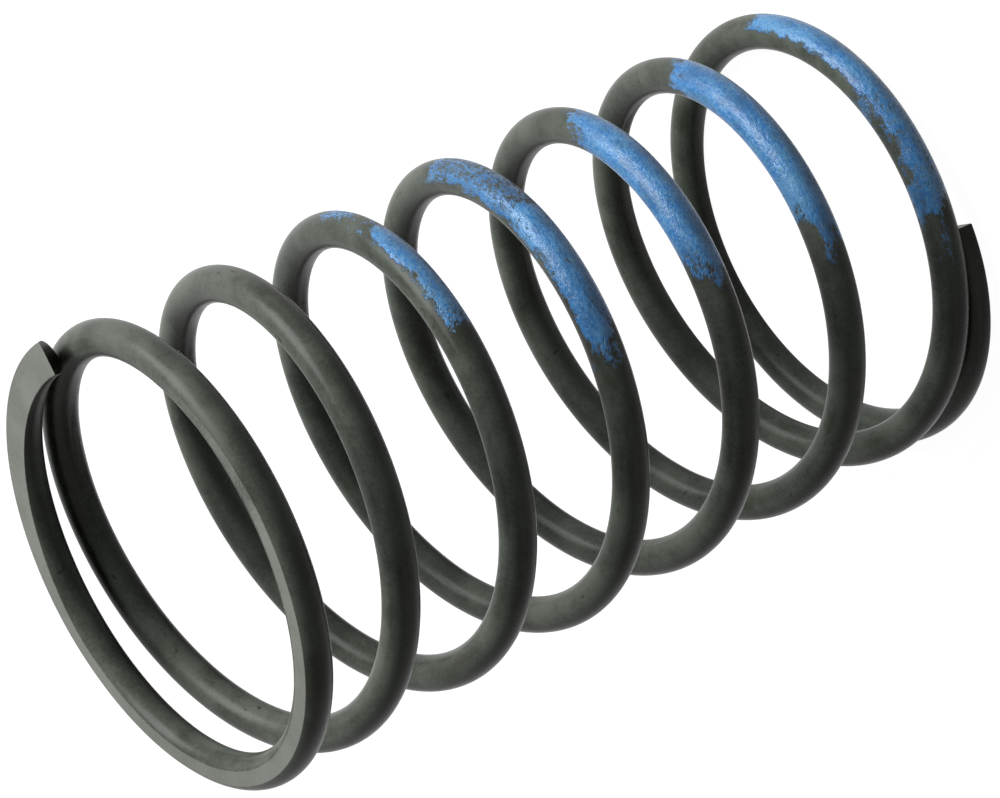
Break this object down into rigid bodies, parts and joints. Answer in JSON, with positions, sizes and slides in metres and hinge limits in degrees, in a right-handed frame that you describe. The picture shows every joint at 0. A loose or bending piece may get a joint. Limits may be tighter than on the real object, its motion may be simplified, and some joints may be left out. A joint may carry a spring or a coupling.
{
  "type": "wastegate spring",
  "caption": "Left-hand cylindrical compression spring of round steel wire, closed and ground at both ends, with a blue paint mark.",
  "frame": {"origin": "centre of the lower ground face, on the spring's axis", "axes": "+Z along the spring's axis, from the lower ground end to the upper one; the lower tip of the wire lies on the +X side"},
  "size_m": [0.042, 0.0419, 0.0768],
  "materials": {
    "spring_wire": "dark oil-tempered wire, satin, with a brushed blue paint mark along one side of five turns"
  },
  "bodies": {
    "root": {"spring": "spring_wire"}
  },
  "joints": []
}
